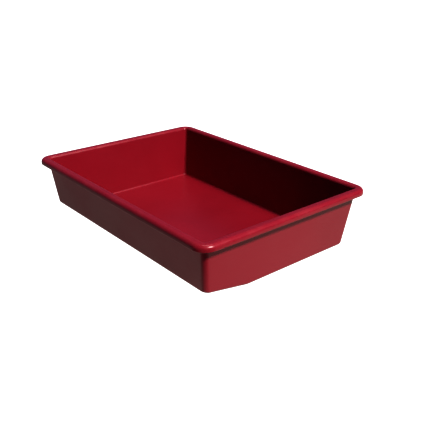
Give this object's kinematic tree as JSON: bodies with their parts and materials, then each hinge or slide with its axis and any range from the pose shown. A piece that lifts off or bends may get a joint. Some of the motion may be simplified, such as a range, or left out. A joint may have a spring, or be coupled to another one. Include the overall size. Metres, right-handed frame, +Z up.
{
  "type": "developing tray",
  "caption": "Shallow rectangular darkroom tray with drafted walls, rolled rim, downturned lip and an underside sloped along one long side for rocking.",
  "frame": {"origin": "centre of the tray's outline on the plane it stands on", "axes": "+X along the long side, +Y from the sloped (front) long side to the other, +Z up out of the open top"},
  "size_m": [0.229, 0.165, 0.049],
  "materials": {
    "red_plastic": "gloss, moulded, coloured through"
  },
  "bodies": {
    "root": {"floor_flat": "red_plastic", "floor_slope": "red_plastic", "base_edge_front": "red_plastic", "base_edge_back": "red_plastic", "base_edge_left": "red_plastic", "base_edge_right": "red_plastic", "wall_front": "red_plastic", "wall_back": "red_plastic", "wall_left": "red_plastic", "wall_right": "red_plastic", "rim_front": "red_plastic", "rim_back": "red_plastic", "rim_left": "red_plastic", "rim_right": "red_plastic", "lip_front": "red_plastic", "lip_back": "red_plastic", "lip_left": "red_plastic", "lip_right": "red_plastic"}
  },
  "joints": []
}
